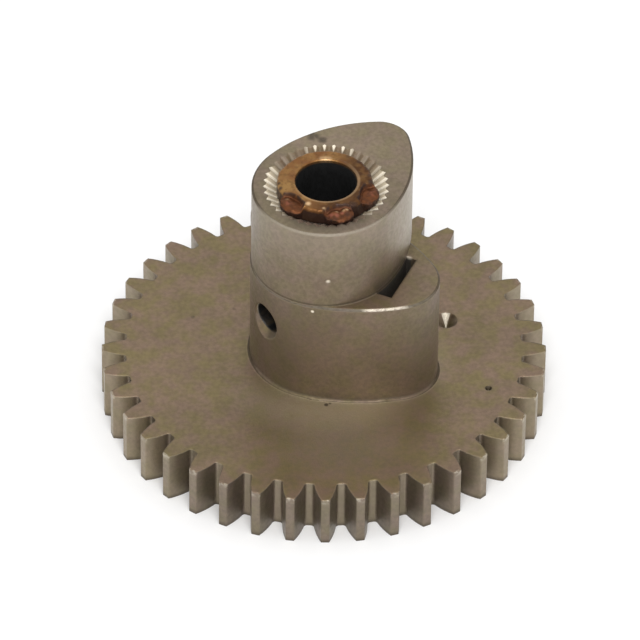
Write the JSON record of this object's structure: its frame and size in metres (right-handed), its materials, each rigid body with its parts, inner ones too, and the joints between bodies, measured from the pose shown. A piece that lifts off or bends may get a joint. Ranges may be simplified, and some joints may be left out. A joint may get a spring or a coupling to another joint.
{
  "type": "camshaft gear",
  "caption": "Spur gear with two cams stacked on its axis in one piece of steel, and a staked bronze bush through the bore; runs on a shaft and lifts two followers.",
  "frame": {"origin": "on the bore's axis at the gear's back face, which it rests on", "axes": "+Z along the bore's axis, from the gear's back face towards the cams; +X points to a tooth within a degree, and the noses of the cams point 23.5 degrees clockwise and 53 degrees anticlockwise from it"},
  "size_m": [0.0666, 0.0666, 0.0419],
  "materials": {
    "steel": "matte, brownish grey, finely mottled",
    "bronze": "worn bearing bronze, satin"
  },
  "bodies": {
    "root": {"cam_gear": "steel", "bush": "bronze"}
  },
  "joints": []
}
